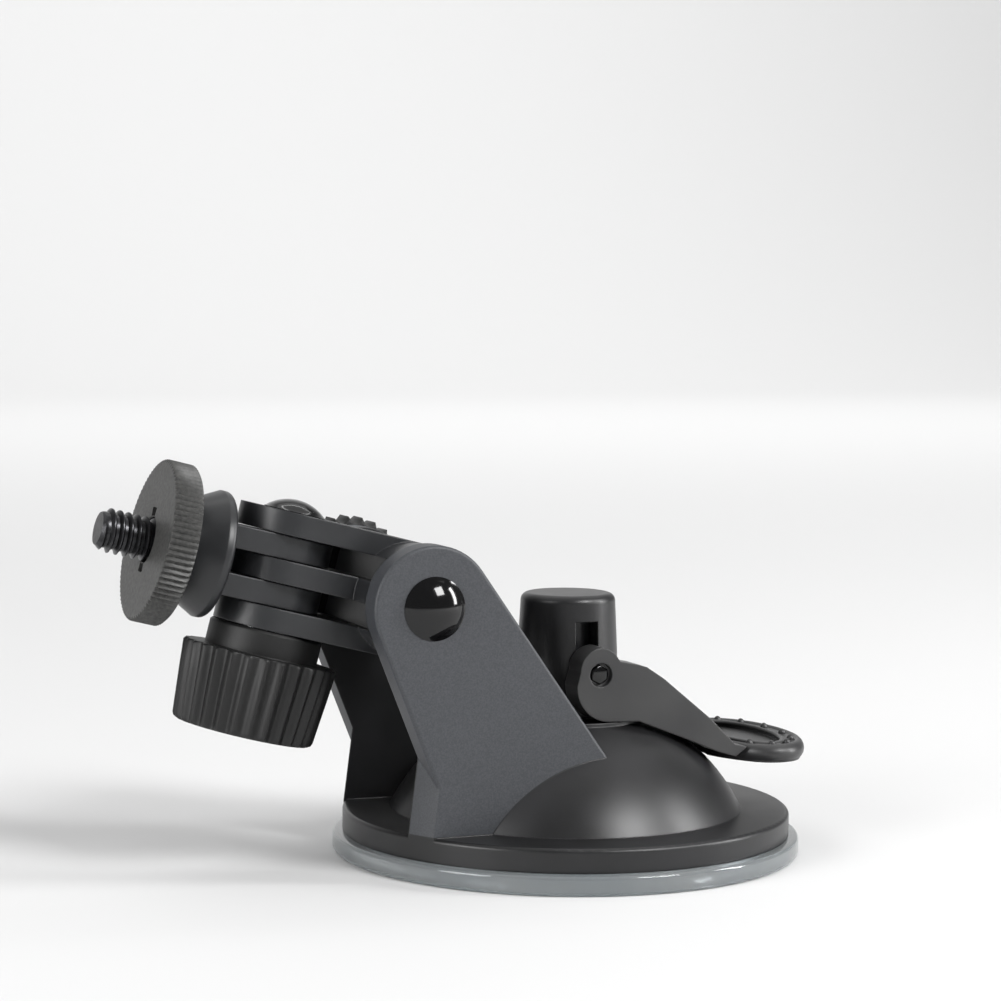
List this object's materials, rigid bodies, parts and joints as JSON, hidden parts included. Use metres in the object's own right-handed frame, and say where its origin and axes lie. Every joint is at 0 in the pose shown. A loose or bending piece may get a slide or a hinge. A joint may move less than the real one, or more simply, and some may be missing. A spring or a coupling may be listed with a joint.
{
  "type": "suction cup camera mount",
  "caption": "Lever-locked suction cup mount with a tilting and swivelling arm that ends in a tripod stud and a knurled lock wheel.",
  "frame": {"origin": "on the suction cup's axis, in the plane of the surface that the cup grips", "axes": "+Z away from that surface, -X towards the arm and the tripod stud, +X towards the lever's paddle, y = 0 the plane of symmetry"},
  "size_m": [0.1112, 0.071, 0.0601],
  "materials": {
    "clear_cup": "clear soft PVC, glossy",
    "black_abs": "fine textured black moulding",
    "acetal": "smooth black moulding",
    "zinc_steel": "bright zinc plate",
    "black_steel": "gloss black plate",
    "black_alloy": "satin black coated alloy"
  },
  "bodies": {
    "base": {"base_housing": "black_abs", "suction_cup": "clear_cup", "stem_spring": "zinc_steel", "spring_washer": "zinc_steel", "tilt_bolt": "black_steel"},
    "stem": {"cup_stem": "acetal"},
    "lever": {"lever": "black_abs", "lever_pin": "black_steel"},
    "tilt_wheel": {"tilt_knob": "black_abs", "tilt_nut": "zinc_steel", "tilt_washer": "zinc_steel"},
    "arm": {"swivel_arm": "black_abs", "swivel_bolt": "black_steel"},
    "swivel_grip": {"swivel_knob": "black_abs", "swivel_nut": "zinc_steel", "swivel_washer": "zinc_steel"},
    "head": {"camera_head": "black_abs", "tripod_stud": "black_steel"},
    "stud_wheel": {"lock_wheel": "black_alloy"}
  },
  "joints": [
    {"name": "stem_drop", "type": "slide", "parent": "base", "child": "stem", "axis": [0, 0, -1], "range_m": [0, 0.0032], "deforming": ["stem_spring", "suction_cup"]},
    {"name": "lever_lift", "type": "hinge", "parent": "stem", "child": "lever", "pos_m": [0, 0, 0.028], "axis": [0, -1, 0], "range_deg": [0, 85]},
    {"name": "arm_tilt", "type": "hinge", "parent": "base", "child": "arm", "pos_m": [-0.0287, 0, 0.0395], "axis": [0, 1, 0], "range_deg": [-42, 80]},
    {"name": "head_swivel", "type": "hinge", "parent": "arm", "child": "head", "pos_m": [-0.04568, 0, 0.04373], "axis": [0.2419, 0, 0.9703], "range_deg": [-65, 65]},
    {"name": "tilt_wheel_turn", "type": "hinge", "parent": "base", "child": "tilt_wheel", "pos_m": [-0.0287, 0.0185, 0.0395], "axis": [0, 1, 0], "continuous": true},
    {"name": "swivel_grip_turn", "type": "hinge", "parent": "arm", "child": "swivel_grip", "pos_m": [-0.04858, 0, 0.03209], "axis": [0.2419, 0, 0.9703], "continuous": true},
    {"name": "lock_wheel_turn", "type": "hinge", "parent": "head", "child": "stud_wheel", "pos_m": [-0.06285, 0, 0.04802], "axis": [-0.9703, 0, 0.2419], "continuous": true}
  ],
  "couplings": [
    {"joint": "stem_drop", "follows": "lever_lift", "m_per_rad": 0.002037}
  ]
}
